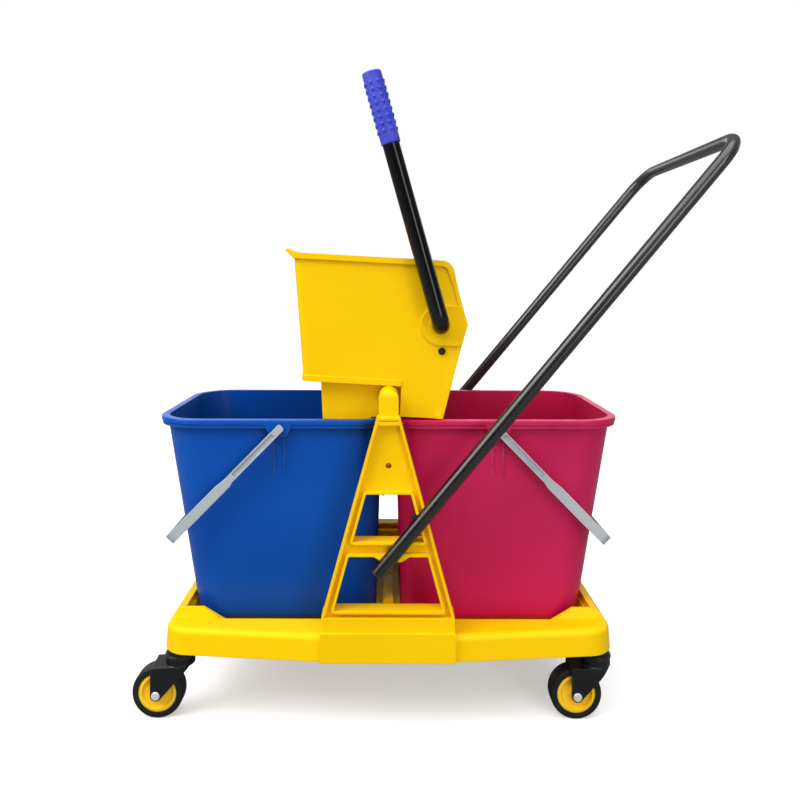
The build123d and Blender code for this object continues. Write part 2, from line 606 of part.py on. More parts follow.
def make_stand():
    """Front stand: ribbed A-frame with a foot, a recessed panel and the post under the wringer."""
    shoulder = half_width(SHOULDER_Z)
    outline = polygon([(-STAND_FOOT_HALF, 0, BLOCK_Z), (STAND_FOOT_HALF, 0, BLOCK_Z),
                       (STAND_FOOT_HALF, 0, LEG_FOOT_Z), (shoulder, 0, SHOULDER_Z),
                       (-shoulder, 0, SHOULDER_Z), (-STAND_FOOT_HALF, 0, LEG_FOOT_Z)])
    frame = outline - window(*WINDOW_LOW) - window(*WINDOW_HIGH)
    inner = offset(outline, -STAND_RIB)
    channels = inner - offset(window(*WINDOW_LOW), STAND_RIB) - offset(window(*WINDOW_HIGH), STAND_RIB)
    ribs = extrude(frame - channels, STAND_FRONT - STAND_BACK, dir=(0, 1, 0))
    web = extrude(frame, STAND_WEB, dir=(0, 1, 0))
    stand = Pos(0, -STAND_FRONT, 0) * ribs + Pos(0, -WEB_FRONT, 0) * web
    foot_top = BLOCK_Z + STAND_FOOT_H
    foot = box(-STAND_FOOT_HALF, STAND_FOOT_HALF, -STAND_FRONT, -STAND_FOOT_IN, BLOCK_Z, foot_top)
    stand = stand + fillet(foot.edges().filter_by(Axis.Z), STAND_FOOT_R)

    # Post: round-topped from the front, bent inward over the rims of the buckets.
    low = RIM_Z + POST_RIM_CLEAR
    root = low - POST_ROOT
    straight = POST_TOP - POST_HALF
    foot_z = low - STAND_RIB / 2
    crown = ThreePointArc((POST_HALF, 0, straight), (0, 0, POST_TOP), (-POST_HALF, 0, straight))
    front_view = make_face(Polyline((-POST_HALF, 0, root), (POST_HALF, 0, root), (POST_HALF, 0, straight))
                           + crown + Line((-POST_HALF, 0, straight), (-POST_HALF, 0, root)))
    front_view = extrude(front_view, BLOCK_Y, dir=(0, -1, 0))
    nose_y = POST_NOSE_R - POST_FRONT
    nose_z = POST_TOP - POST_NOSE_R
    slant = POST_NOSE_R * sqrt(0.5)
    side_view = make_face(Polyline((0, -POST_IN, low), (0, -POST_IN, POST_TOP), (0, nose_y, POST_TOP))
                          + ThreePointArc((0, nose_y, POST_TOP), (0, nose_y - slant, nose_z + slant),
                                          (0, -POST_FRONT, nose_z))
                          + Polyline((0, -POST_FRONT, nose_z), (0, -POST_FRONT, SHOULDER_Z),
                                     (0, -STAND_FRONT, SHOULDER_Z - POST_BEVEL), (0, -STAND_FRONT, foot_z),
                                     (0, -WEB_FRONT, foot_z), (0, -WEB_FRONT, root), (0, -STAND_BACK, root),
                                     (0, -RIM_Y - POST_RIM_CLEAR, low), (0, -POST_IN, low)))
    side_view = extrude(side_view, 2 * POST_HALF, both=True)
    stand = stand + (front_view & side_view)

    # Lug under the crossbar, then the channel that the handle lies in.
    bar = WINDOW_LOW[1]
    middle = HANDLE_X + (bar - HANDLE_Z) / tan(radians(HANDLE_SLOPE))
    lug = [(middle - LUG_HALF_TOP, bar + BITE), (middle + LUG_HALF_TOP, bar + BITE),
           (middle + LUG_HALF_FOOT, bar - LUG_DROP), (middle - LUG_HALF_FOOT, bar - LUG_DROP)]
    stand = stand + prism_xz(lug, -STAND_FRONT, -WEB_BACK)
    stand = stand - rod(handle_point(-2 * HANDLE_R), handle_point(CHANNEL_L), HANDLE_R + HANDLE_FIT)
    notch = rod(handle_point(BUTTON_AT), handle_point(BUTTON_AT, 2 * HANDLE_R), BUTTON_R + BUTTON_ROOM)
    stand = stand - notch

    # Blind hole in the panel, and the holes for the screws.
    z = PANEL_HOLE_Z
    stand = stand + rod((0, -WEB_FRONT, z), (0, -STAND_BACK, z), PANEL_HOLE_R + STAND_RIB)
    stand = stand - rod((0, -STAND_FRONT, z), (0, -STAND_BACK - STAND_RIB / 2, z), PANEL_HOLE_R)
    for x, y, z in handle_screw_places():
        stand = stand - rod((x, y, z), (x, -WEB_BACK, z), SCREW_R)
        stand = stand - rod((x, -WEB_BACK, z), (x, -STAND_BACK, z), SCREW_HEAD_R + SCREW_ROOM)
    for x, y in stand_screw_places():
        if y < 0:
            stand = stand - rod((x, y, BLOCK_Z), (x, y, BLOCK_Z - DECK_WALL + SCREW_L), SCREW_R)
    return stand


def make_handle():
    """Push handle: one bent tube, drilled for its snap buttons and screws."""
    front_low = handle_point(0)
    front_top = handle_point(HANDLE_L)
    rear_top = (front_top[0], HANDLE_Y, front_top[2])
    rear_low = (front_low[0], HANDLE_Y, front_low[2])
    points = [front_low, front_top, rear_top, rear_low]
    path = FilletPolyline(*points, radius=HANDLE_BEND_R)
    end = Plane(path @ 0, z_dir=path % 0)
    tube = sweep(end * Circle(HANDLE_R), path=path) - sweep(end * Circle(HANDLE_R - HANDLE_WALL), path=path)
    for piece in both_sides(rod(handle_point(BUTTON_AT), handle_point(BUTTON_AT, 2 * HANDLE_R), BUTTON_R)):
        tube = tube - piece
    for x, y, z in handle_screw_places():
        for piece in both_sides(rod((x, y, z), (x, -STAND_BACK, z), SCREW_R)):
            tube = tube - piece
    return tube


def make_buttons():
    """Domed snap buttons that stand out of the handle's legs."""
    sunk = HANDLE_R - 2 * HANDLE_WALL
    base = rod(handle_point(BUTTON_AT, sunk), handle_point(BUTTON_AT, HANDLE_R + BUTTON_PROUD), BUTTON_R)
    rounded = fillet(base.edges().sort_by(Axis.Z)[-1], BUTTON_ROUND)
    return Compound(both_sides(rounded))


def make_plugs():
    """Plugs in the lower ends of the handle."""
    plug = rod(handle_point(0), handle_point(PLUG_L), HANDLE_R - HANDLE_WALL)
    cap = rod(handle_point(-PLUG_CAP), handle_point(0), HANDLE_R)
    return Compound(both_sides(plug + cap))


def make_handle_screws():
    """Screws from behind the stands into the handle."""
    screws = []
    for x, y, z in handle_screw_places():
        shank = rod((x, -WEB_BACK, z), (x, -WEB_BACK - SCREW_L, z), SCREW_R)
        head = rod((x, -WEB_BACK, z), (x, -WEB_BACK + SCREW_HEAD_H, z), SCREW_HEAD_R)
        screws += both_sides(shank + head)
    return Compound(screws)


def tilted(piece):
    """Piece drawn in the wringer's upright frame, set at the wringer's lean."""
    return Pos(0, 0, POST_TOP) * Rot(0, TILT, 0) * Pos(0, 0, -POST_TOP) * piece


def wringer_outline(inset, top):
    """Side outline of the wringer above its ledge and on its right."""
    points = [(W_LEFT_TOP, W_TOP), (W_LEFT_LEDGE, LEDGE_Z), (W_LEDGE_X, LEDGE_Z), (W_LEDGE_X, W_FLOOR_Z),
              (W_RIGHT_FOOT, W_FLOOR_Z), W_RIGHT_SIDE, W_RIGHT_KINK, W_RIGHT_NECK, (W_RIGHT_TOP, W_TOP)]
    face = polygon([(x, 0, z) for x, z in points])
    corner = [v for v in face.vertices() if v.X > W_RIGHT_TOP - BITE and v.Z > W_TOP - BITE]
    face = face.fillet_2d(W_TOP_R, corner)
    if inset > 0:
        face = offset(face, -inset, kind=Kind.INTERSECTION)
        below = W_TOP - 2 * inset
        right = W_RIGHT_TOP - inset
        lid = polygon([(W_LEFT_TOP + inset, 0, top), (right, 0, top), (right, 0, below),
                       (W_LEFT_TOP + 1.5 * inset, 0, below)])
        face = face + lid
    return face


def skirt_outline(inset, floor_x):
    """Side outline of the narrow part of the wringer between the posts."""
    points = [(W_SKIRT_TOP, LEDGE_Z), (W_SKIRT_FOOT, W_SKIRT_Z), (floor_x, W_SKIRT_Z + W_FLOOR_FALL),
              (floor_x, W_FLOOR_Z), (W_SKIRT_RIGHT, W_FLOOR_Z), (W_SKIRT_RIGHT, LEDGE_Z)]
    face = polygon([(x, 0, z) for x, z in points])
    if inset > 0:
        face = offset(face, -inset, kind=Kind.INTERSECTION)
    return face


def across(face, half):
    """Side outline pushed out to both sides of the trolley's middle."""
    return extrude(face, half, dir=(0, 1, 0), both=True)


def wringer_rim(whole):
    """Bead along the sides and round the upper right corner, and a lip flared out on the left."""
    half = W_HALF + W_RIM_PROUD
    bead = across(whole - offset(whole, -W_RIM_H, kind=Kind.INTERSECTION), half)
    bead = bead & box(W_LEFT_TOP, W_RIGHT_KINK[0], -half, half, W_TOP - W_TOP_R, W_TOP)
    bead = bead - box(W_LEFT_TOP - BITE, W_RIGHT_TOP - W_TOP_R, -half, half, 0, W_TOP - W_RIM_H)
    x, z = W_LIP
    lip = [(W_LEFT_TOP + W_LIP_ROOT, W_TOP), W_LIP, (x - W_LIP_SLANT, z - W_WALL),
           (W_LEFT_TOP + BITE, W_TOP - W_RIM_H)]
    return bead + prism_xz(lip, -half, half)


def ledge_bead():
    """Bead along the ledge, round the corners of the left end."""
    lean = (W_LEFT_LEDGE - W_LEFT_TOP) / (W_TOP - LEDGE_Z)
    left = W_LEFT_LEDGE - W_FOOT_BEAD
    top = LEDGE_Z + W_FOOT_BEAD_H
    half = W_HALF + W_FOOT_BEAD
    outline = [(left, LEDGE_Z), (W_LEDGE_X, LEDGE_Z), (W_LEDGE_X, top), (left - lean * W_FOOT_BEAD_H, top)]
    bead = prism_xz(outline, -half, half)
    corners = [e for e in bead.edges().filter_by(Axis.Y, reverse=True) if e.center().X < W_LEFT_LEDGE]
    return fillet(corners, W_CORNER_R)


def wringer_trim(whole):
    """Raised boss round the lever's shaft and border down the right edge, on the front side."""
    x, z = LEVER_AXIS
    face = BITE - W_HALF
    disc = rod((x, -BOSS_Y, z), (x, face, z), W_BOSS_R)
    right = W_RIGHT_KINK[0]
    low, high = z - W_BOSS_R, z + W_BOSS_R
    arm = polygon([(x, 0, low), (right, 0, low), (right, 0, high), (x, 0, high)]) & whole
    arm = Pos(0, -BOSS_Y, 0) * extrude(arm, BOSS_Y + face, dir=(0, 1, 0))
    border = whole - offset(whole, -W_BORDER, kind=Kind.INTERSECTION)
    border = Pos(0, -W_HALF - W_BORDER_H, 0) * extrude(border, W_BORDER_H + BITE, dir=(0, 1, 0))
    left = W_RIGHT_FOOT - 2 * W_BORDER
    border = border & box(left, W_RIGHT_KINK[0] + BITE, -W_HALF - W_BORDER_H, 0, W_FLOOR_Z, W_TOP)
    return disc + arm + border


def make_wringer():
    """Wringer shell: open-topped box with a pour lip, a stepped lower part and drain slots."""
    whole = wringer_outline(0, W_TOP)
    body = across(whole, W_HALF)
    left = [e for e in body.edges() if abs(e.center().Y) > W_HALF - BITE and e.center().X < W_LEFT_LEDGE]
    body = fillet(left, W_CORNER_R)
    skirts = ((W_FLOOR_X, W_RECESS_HALF), (W_CHUTE_X, W_CHUTE_HALF))
    for floor_x, half in skirts:
        body = body + across(skirt_outline(0, floor_x), half)
    body = body + wringer_rim(whole) + ledge_bead()
    for piece in both_sides(wringer_trim(whole)):
        body = body + piece

    # Inside of the box and of the skirt, which opens upwards into it.
    body = body - across(wringer_outline(W_WALL, W_LIP[1] + BITE), W_HALF - W_WALL)
    for floor_x, half in skirts:
        body = body - across(skirt_outline(W_WALL, floor_x), half - W_WALL)
    room = W_RECESS_HALF - W_WALL
    body = body - box(W_SKIRT_TOP + 2 * W_WALL, W_SKIRT_RIGHT - W_WALL, -room, room, LEDGE_Z - 2 * W_WALL,
                      LEDGE_Z + 2 * W_WALL)

    # Holes for the bushes and the shoulder bolts, and drain slots in both floors.
    x, z = LEVER_AXIS
    px, pz = PLATE_AXIS
    bush = rod((x, -BOSS_Y, z), (x, BITE - INNER_Y, z), LEVER_R + RUN_FIT + BUSH_T)
    bolt = rod((px, -BOSS_Y, pz), (px, BITE - INNER_Y, pz), PIVOT_R)
    for piece in both_sides(bush + bolt):
        body = body - piece
    for i in range(DRAINS):
        y = (i - (DRAINS - 1) / 2) * DRAIN_PITCH
        y0, y1 = y - DRAIN_W / 2, y + DRAIN_W / 2
        low = W_SKIRT_Z + W_FLOOR_FALL + W_WALL
        body = body - box(W_SKIRT_FOOT + DRAIN_MARGIN, W_FLOOR_X - DRAIN_W, y0, y1, W_SKIRT_Z - BITE, low)
        body = body - box(W_FLOOR_X + DRAIN_MARGIN, W_RIGHT_FOOT - DRAIN_MARGIN, y0, y1, W_FLOOR_Z - BITE,
                          W_FLOOR_Z + W_WALL + BITE)
    return tilted(body)


def gear_face(phase):
    """Spur gear outline in the XZ plane with a tooth centred at the given angle."""
    pitch_r = GEAR_PITCH_R
    base_r = pitch_r * cos(radians(GEAR_PRESSURE))
    tip_r = pitch_r + GEAR_MODULE
    root_r = pitch_r - 1.25 * GEAR_MODULE
    step = 2 * pi / GEAR_TEETH

    def spread(r):
        angle = acos(min(1.0, base_r / r))
        return tan(angle) - angle

    half_pitch = (pi * GEAR_MODULE / 2 - GEAR_BACKLASH) / (2 * pitch_r)
    start = half_pitch + spread(pitch_r)

    def at(r, angle):
        return (r * cos(angle), 0, r * sin(angle))

    edges = []
    for i in range(GEAR_TEETH):
        mid = radians(phase) + i * step
        foot = start
        crown = start - spread(tip_r)
        flank = start - spread(pitch_r)
        edges.append(Line(at(root_r, mid - foot), at(base_r, mid - foot)))
        edges.append(ThreePointArc(at(base_r, mid - foot), at(pitch_r, mid - flank), at(tip_r, mid - crown)))
        edges.append(ThreePointArc(at(tip_r, mid - crown), at(tip_r, mid), at(tip_r, mid + crown)))
        edges.append(ThreePointArc(at(tip_r, mid + crown), at(pitch_r, mid + flank), at(base_r, mid + foot)))
        edges.append(Line(at(base_r, mid + foot), at(root_r, mid + foot)))
        next_foot = mid + step - foot
        edges.append(ThreePointArc(at(root_r, mid + foot), at(root_r, mid + step / 2), at(root_r, next_foot)))
    return make_face(edges)


def make_pinion():
    """Front pinion on the lever's shaft, with a hub that takes a cross pin."""
    x, z = LEVER_AXIS
    toward = -90 + GEAR_LEAN
    gear = extrude(gear_face(toward), GEAR_W, dir=(0, -1, 0))
    outer = INNER_Y - SIDE_GAP
    pinion = Pos(x, -GEAR_Y, z) * gear + rod((x, -GEAR_Y - GEAR_W, z), (x, -outer, z), PINION_HUB_R)
    pinion = pinion - rod((x, 0, z), (x, -W_HALF, z), LEVER_R)
    y, z0, z1 = pinion_pin()
    return pinion - rod((x, y, z0), (x, y, z1), PINION_PIN_R)


def pinion_pin():
    """Place of the cross pin through the front pinion's hub."""
    x, z = LEVER_AXIS
    y = -(GEAR_Y + GEAR_W + INNER_Y - SIDE_GAP) / 2
    return y, z - PINION_HUB_R, z + PINION_HUB_R


def make_pinion_pins():
    """Cross pins that hold the pinions on the shaft."""
    y, z0, z1 = pinion_pin()
    x = LEVER_AXIS[0]
    return tilted(Compound(both_sides(rod((x, y, z0), (x, y, z1), PINION_PIN_R))))


def make_lever():
    """Lever: one tube, bent at the bottom into the shaft that crosses the wringer."""
    axis = lever_axis()
    lean = radians(LEVER_LEAN)
    top = (axis.X - LEVER_L * sin(lean), -LEVER_Y, axis.Z + LEVER_L * cos(lean))
    end = (axis.X, BOSS_Y + BUSH_FLANGE_T + SHAFT_OUT, axis.Z)
    path = FilletPolyline(top, (axis.X, -LEVER_Y, axis.Z), end, radius=LEVER_BEND_R)
    start = Plane(path @ 0, z_dir=path % 0)
    tube = sweep(start * Circle(LEVER_R), path=path) - sweep(start * Circle(LEVER_R - LEVER_WALL), path=path)
    y, z0, z1 = pinion_pin()
    x = LEVER_AXIS[0]
    for piece in both_sides(rod((x, y, z0), (x, y, z1), PINION_PIN_R)):
        tube = tube - tilted(piece)
    return tube


def lever_axis():
    """Lever's axis after the wringer's lean, at the trolley's middle."""
    return (tilted(Pos(LEVER_AXIS[0], 0, LEVER_AXIS[1]) * Vertex(0, 0, 0))).center()


def make_grip():
    """Rubber grip with a closed end."""
    axis = lever_axis()
    lean = radians(LEVER_LEAN)

    def along(s):
        return (axis.X - s * sin(lean), -LEVER_Y, axis.Z + s * cos(lean))

    grip = rod(along(LEVER_L - GRIP_L), along(LEVER_L + GRIP_END), LEVER_R + GRIP_T)
    ends = grip.edges().sort_by(Axis.Z)
    grip = fillet(ends[-1], GRIP_ROUND)
    return grip - rod(along(LEVER_L - GRIP_L), along(LEVER_L), LEVER_R)


def make_bushes():
    """Flanged bushes that carry the shaft in the wringer's walls."""
    x, z = LEVER_AXIS
    bush = rod((x, -BOSS_Y, z), (x, -INNER_Y, z), LEVER_R + RUN_FIT + BUSH_T)
    bush = bush + rod((x, -BOSS_Y - BUSH_FLANGE_T, z), (x, -BOSS_Y, z), BUSH_FLANGE_R)
    bush = bush - rod((x, -2 * BOSS_Y, z), (x, 0, z), LEVER_R + RUN_FIT)
    return tilted(Compound(both_sides(bush)))


def make_retainer():
    """Cap on the rear end of the shaft that keeps it in the bushes."""
    x, z = LEVER_AXIS
    face_y = BOSS_Y + BUSH_FLANGE_T + SIDE_GAP
    end = BOSS_Y + BUSH_FLANGE_T + SHAFT_OUT
    cap = rod((x, face_y, z), (x, end + CAP_T, z), LEVER_R + CAP_PROUD)
    cap = fillet(cap.edges().sort_by(Axis.Y)[-1], CAP_T / 2) - rod((x, face_y, z), (x, end, z), LEVER_R)
    plug = rod((x, end - CAP_PLUG, z), (x, end + BITE, z), LEVER_R - LEVER_WALL)
    return tilted(cap + plug)


def make_pivots():
    """Shoulder bolts that the press plate swings on."""
    x, z = PLATE_AXIS
    inner = GEAR_Y - BITE
    bolt = rod((x, -W_HALF, z), (x, -inner, z), PIVOT_R)
    head = rod((x, -W_HALF - PIVOT_HEAD_H, z), (x, -W_HALF, z), PIVOT_HEAD_R)
    head = fillet(head.edges().sort_by(Axis.Y)[0], PIVOT_ROUND)
    return tilted(Compound(both_sides(bolt + head)))


def make_plate():
    """Press plate: slotted and ribbed on the side that meets the mop."""
    x, z = PLATE_AXIS
    back = x - PLATE_SET
    front = back - PLATE_T
    low = z - PLATE_DOWN
    high = z + PLATE_UP
    plate = box(front, back, -PLATE_HALF, PLATE_HALF, low, high)
    plate = fillet(plate.edges().filter_by(Axis.X), PLATE_CORNER_R)
    half = (PLATE_COLUMNS - 1) / 2
    for i in range(PLATE_COLUMNS):
        y = (i - half) * PLATE_PITCH
        for j in range(PLATE_ROWS):
            row = low + PLATE_ROW_UP + j * PLATE_ROW_PITCH
            slot = Box(PLATE_T + 2 * BITE, PLATE_SLOT_W, PLATE_SLOT_L)
            plate = plate - Pos((front + back) / 2, y, row) * slot
    for i in range(PLATE_COLUMNS - 1):
        y = (i + 0.5 - half) * PLATE_PITCH
        plate = plate + box(front - PLATE_RIB_H, front, y - PLATE_RIB_T / 2, y + PLATE_RIB_T / 2,
                            low + PLATE_MARGIN, high - PLATE_MARGIN)
    for sx, sy, sz in plate_screw_places():
        for piece in both_sides(rod((front - BITE, sy, sz), (back + BITE, sy, sz), SCREW_R)):
            plate = plate - piece
    return tilted(plate)


def plate_screw_places():
    """Screws through the press plate into the front gear's foot."""
    x, z = PLATE_AXIS
    front = x - PLATE_SET - PLATE_T
    y = -(EAR_FOOT_Y + PLATE_HALF) / 2
    low = z - PLATE_DOWN + EAR_SCREW_UP
    return [(front, y, low), (front, y, low + EAR_SCREW_PITCH)]


def make_plate_screws():
    """Screws that hold the gears to the press plate."""
    screws = []
    for x, y, z in plate_screw_places():
        shank = rod((x, y, z), (x + PLATE_T + EAR_FOOT_T - BITE, y, z), SCREW_R)
        head = rod((x - PLATE_SCREW_HEAD_H, y, z), (x, y, z), PLATE_SCREW_HEAD_R)
        screws += both_sides(shank + head)
    return tilted(Compound(screws))


def make_plate_gear():
    """Front gear of the press plate, with an arm and a foot behind the plate."""
    x, z = PLATE_AXIS
    back = x - PLATE_SET
    low = z - PLATE_DOWN
    toward = 90 + GEAR_LEAN + 180 / GEAR_TEETH
    gear = Pos(x, -GEAR_Y, z) * extrude(gear_face(toward), GEAR_W, dir=(0, -1, 0))
    foot = box(back, back + EAR_FOOT_T, -GEAR_Y - GEAR_W, -EAR_FOOT_Y, low, low + EAR_FOOT_H)
    top = z + EAR_ARM_UP
    arm = prism_xz([(back, low), (x, z - EAR_ARM_DOWN), (x, top), (back, top)], -GEAR_Y - GEAR_W, -GEAR_Y)
    ear = gear + arm + foot
    ear = ear - rod((x, -W_HALF, z), (x, 0, z), PIVOT_R + RUN_FIT)
    for sx, sy, sz in plate_screw_places():
        ear = ear - rod((sx, sy, sz), (sx + PLATE_T + EAR_FOOT_T - BITE, sy, sz), SCREW_R)
    return ear


def cheek_outline():
    """Side outline of a fork cheek: upright behind the axle, slanted in front."""
    x, z = -TRAIL, AXLE_Z
    slant = CHEEK_R * sqrt(0.5)
    ledge = z + CHEEK_TOP
    front = RACE_R - HEAD_STEP / 2
    crown = ledge + CHEEK_CROWN
    points = [(x - CHEEK_R, z), (x - CHEEK_R, ledge), (-RACE_R / 2, ledge + CHEEK_RISE), (-RACE_R / 4, crown),
              (front, crown), (front / 2, z + CHEEK_BEND), (x + slant, z - slant)]
    return polygon([(px, 0, pz) for px, pz in points]) + Pos(x, 0, z) * Rot(90, 0, 0) * Circle(CHEEK_R)


def hood_outline():
    """Side outline of the fork's hood over the wheel."""
    x, z = -TRAIL, AXLE_Z
    front = RACE_R - HEAD_STEP / 2
    rear = x - CHEEK_R + HOOD_IN
    top = z + HOOD_TOP
    points = [(rear, z), (rear, z + CHEEK_TOP), (x + HOOD_IN, top), (0, top),
              (front, z + CHEEK_TOP + CHEEK_CROWN), (front / 2, z + CHEEK_BEND), (x, z)]
    return polygon([(px, 0, pz) for px, pz in points])


def make_fork():
    """Caster fork round its own swivel axis: head, hood and two cheeks."""
    top = DECK_Z - RACE_H - SIDE_GAP
    seat = top - FORK_HEAD_H
    cheeks = extrude(cheek_outline(), FORK_OUT, dir=(0, 1, 0), both=True)
    cheeks = cheeks - extrude(cheek_outline(), FORK_IN, dir=(0, 1, 0), both=True)
    fork = cheeks + extrude(hood_outline(), FORK_IN + HOOD_STEP, dir=(0, 1, 0), both=True)
    head = rod((0, 0, seat - HEAD_ROOT), (0, 0, top), RACE_R - HEAD_STEP)
    fork = fork + head + rod((0, 0, top - HEAD_RIM_H), (0, 0, top), RACE_R)
    axle = (-TRAIL, 0, AXLE_Z)
    fork = fork - Pos(*axle) * Rot(90, 0, 0) * Cylinder(WHEEL_R + WHEEL_ROOM, 2 * FORK_IN)
    fork = fork - rod((0, 0, AXLE_Z), (0, 0, seat), KINGPIN_R + KINGPIN_CAP + KINGPIN_ROOM)
    fork = fork - rod((0, 0, seat), (0, 0, top + BITE), KINGPIN_R + RUN_FIT)
    return fork - Pos(*axle) * Rot(90, 0, 0) * Cylinder(AXLE_R, 4 * FORK_OUT)


def make_stem():
    """Caster stem with its raceway plate and the kingpin below it."""
    top = DECK_Z - RACE_H
    seat = top - SIDE_GAP - FORK_HEAD_H
    stem = rod((0, 0, top), (0, 0, DECK_Z), RACE_R - RACE_IN)
    stem = stem + rod((0, 0, DECK_Z), (0, 0, DECK_Z + STEM_L), STEM_R)
    cap = seat - SIDE_GAP
    stem = stem + rod((0, 0, cap), (0, 0, top), KINGPIN_R)
    return stem + rod((0, 0, cap - KINGPIN_CAP), (0, 0, cap), KINGPIN_R + KINGPIN_CAP)


def make_axle():
    """Axle bolt with a round head in front and a nut behind."""
    x = -TRAIL
    bolt = rod((x, -FORK_OUT, AXLE_Z), (x, FORK_OUT + AXLE_HEAD_H + BITE, AXLE_Z), AXLE_R)
    head = rod((x, -FORK_OUT - AXLE_HEAD_H, AXLE_Z), (x, -FORK_OUT, AXLE_Z), AXLE_HEAD_R)
    head = fillet(head.edges().sort_by(Axis.Y)[0], HEAD_ROUND)
    hexagon = Plane((x, FORK_OUT, AXLE_Z), z_dir=(0, 1, 0)) * RegularPolygon(AXLE_HEAD_R, 6)
    return bolt + head + extrude(hexagon, AXLE_HEAD_H)


def wheel_section(points):
    """Section of a wheel, from points in radius and width."""
    return polygon([(-TRAIL + r, w, AXLE_Z) for r, w in points])


def turned(section):
    """Ring turned about the axle."""
    return revolve(section, Axis((-TRAIL, 0, AXLE_Z), (0, 1, 0)))


def make_hub():
    """Wheel hub: boss, recessed face and raised ring."""
    boss = FORK_IN - SIDE_GAP
    ring = TYRE_W / 2 - HUB_SET
    ring_in = HUB_R - HUB_RING_W
    half = [(AXLE_R + RUN_FIT, boss), (HUB_BOSS_R, boss), (HUB_BOSS_R + HUB_FLARE, HUB_WEB),
            (ring_in - HUB_FLARE, HUB_WEB - HUB_DISH), (ring_in, ring), (HUB_R, ring - HUB_DISH)]
    return turned(wheel_section(half + [(r, -w) for r, w in reversed(half)]))


def make_tyre():
    """Tyre with a rounded tread."""
    half = TYRE_W / 2
    section = wheel_section([(HUB_R, -half), (WHEEL_R, -half), (WHEEL_R, half), (HUB_R, half)])
    tread = [v for v in section.vertices() if v.X > HUB_R - TRAIL + BITE]
    return turned(section.fillet_2d(TYRE_EDGE, tread))


def build():
    """Every piece by name."""
    front_stand = make_stand()
    pinion = make_pinion()
    gear = make_plate_gear()
    red_bucket = make_bucket()
    red_bail = make_bail()
    pieces = {
        "base_deck": make_deck(),
        "front_stand": front_stand,
        "rear_stand": mirror(front_stand, about=Plane.XZ),
        "stand_screws": make_stand_screws(),
        "push_handle": make_handle(),
        "handle_buttons": make_buttons(),
        "handle_plugs": make_plugs(),
        "handle_screws": make_handle_screws(),
        "red_bucket": red_bucket,
        "blue_bucket": mirror(red_bucket, about=Plane.YZ),
        "red_bail": red_bail,
        "blue_bail": mirror(red_bail, about=Plane.YZ),
        "wringer_shell": make_wringer(),
        "shaft_bushes": make_bushes(),
        "plate_pivots": make_pivots(),
        "lever_tube": make_lever(),
        "lever_grip": make_grip(),
        "shaft_cap": make_retainer(),
        "pinion_front": tilted(pinion),
        "pinion_rear": tilted(mirror(pinion, about=Plane.XZ)),
        "pinion_pins": make_pinion_pins(),
        "press_plate": make_plate(),
        "plate_gear_front": tilted(gear),
        "plate_gear_rear": tilted(mirror(gear, about=Plane.XZ)),
        "plate_screws": make_plate_screws(),
    }
    fork = make_fork()
    stem = make_stem()
    axle = make_axle()
    hub = make_hub()
    tyre = make_tyre()
    stems = []
    places = {"fl": (-1, -1), "fr": (1, -1), "rl": (-1, 1), "rr": (1, 1)}
    for name, (side_x, side_y) in places.items():
        at = Pos(side_x * CASTER_X, side_y * CASTER_Y, 0)
        stems.append(at * stem)
        pieces["caster_fork_" + name] = at * fork
        pieces["caster_axle_" + name] = at * axle
        pieces["wheel_hub_" + name] = at * hub
        pieces["wheel_tyre_" + name] = at * tyre
    pieces["caster_stems"] = Compound(stems)
    return pieces


os.makedirs("parts", exist_ok=True)
for name, piece in build().items():
    export_step(piece, "parts/" + name + ".step")
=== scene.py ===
import json
from math import cos, pi, radians, sin

import bmesh
import bpy
from mathutils import Matrix, Vector


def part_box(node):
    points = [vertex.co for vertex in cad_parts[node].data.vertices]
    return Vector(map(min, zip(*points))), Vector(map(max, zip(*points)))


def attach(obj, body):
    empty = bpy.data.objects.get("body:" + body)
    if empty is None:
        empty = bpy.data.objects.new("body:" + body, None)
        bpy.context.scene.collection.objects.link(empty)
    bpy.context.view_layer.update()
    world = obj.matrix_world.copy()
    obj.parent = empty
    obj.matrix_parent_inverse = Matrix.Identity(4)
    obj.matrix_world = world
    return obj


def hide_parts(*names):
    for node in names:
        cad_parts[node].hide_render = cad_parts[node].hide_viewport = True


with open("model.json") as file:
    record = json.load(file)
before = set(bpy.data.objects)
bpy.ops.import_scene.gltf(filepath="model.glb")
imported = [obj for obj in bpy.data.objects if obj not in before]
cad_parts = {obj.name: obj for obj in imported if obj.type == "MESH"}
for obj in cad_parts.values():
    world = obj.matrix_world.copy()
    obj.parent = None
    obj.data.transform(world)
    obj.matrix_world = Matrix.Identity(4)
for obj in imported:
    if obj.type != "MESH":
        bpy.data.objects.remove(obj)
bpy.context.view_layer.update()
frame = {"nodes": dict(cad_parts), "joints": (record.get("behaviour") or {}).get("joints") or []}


# Casters: black moulded forks that swivel under raceway plates, with a zinc-plated bolt through each
# wheel. A fork is a round head on a flat crown, with two cheeks that a round wall joins in front. The
# hubs are moulded in yellow, and the tyres are soft black rubber pressed over them.
class Wire:
    """One output of a shader node. Sums, differences and products of wires add Math nodes."""

    def __init__(self, nodes, socket):
        self.nodes = nodes
        self.socket = socket

    def math(self, operation, first, second):
        return self.nodes.add("ShaderNodeMath", {"operation": operation}, {0: first, 1: second})

    def __add__(self, other):
        return self.math("ADD", self, other)

    def __sub__(self, other):
        return self.math("SUBTRACT", self, other)

    def __rsub__(self, other):
        return self.math("SUBTRACT", other, self)

    def __mul__(self, other):
        return self.math("MULTIPLY", self, other)

    __radd__ = __add__
    __rmul__ = __mul__


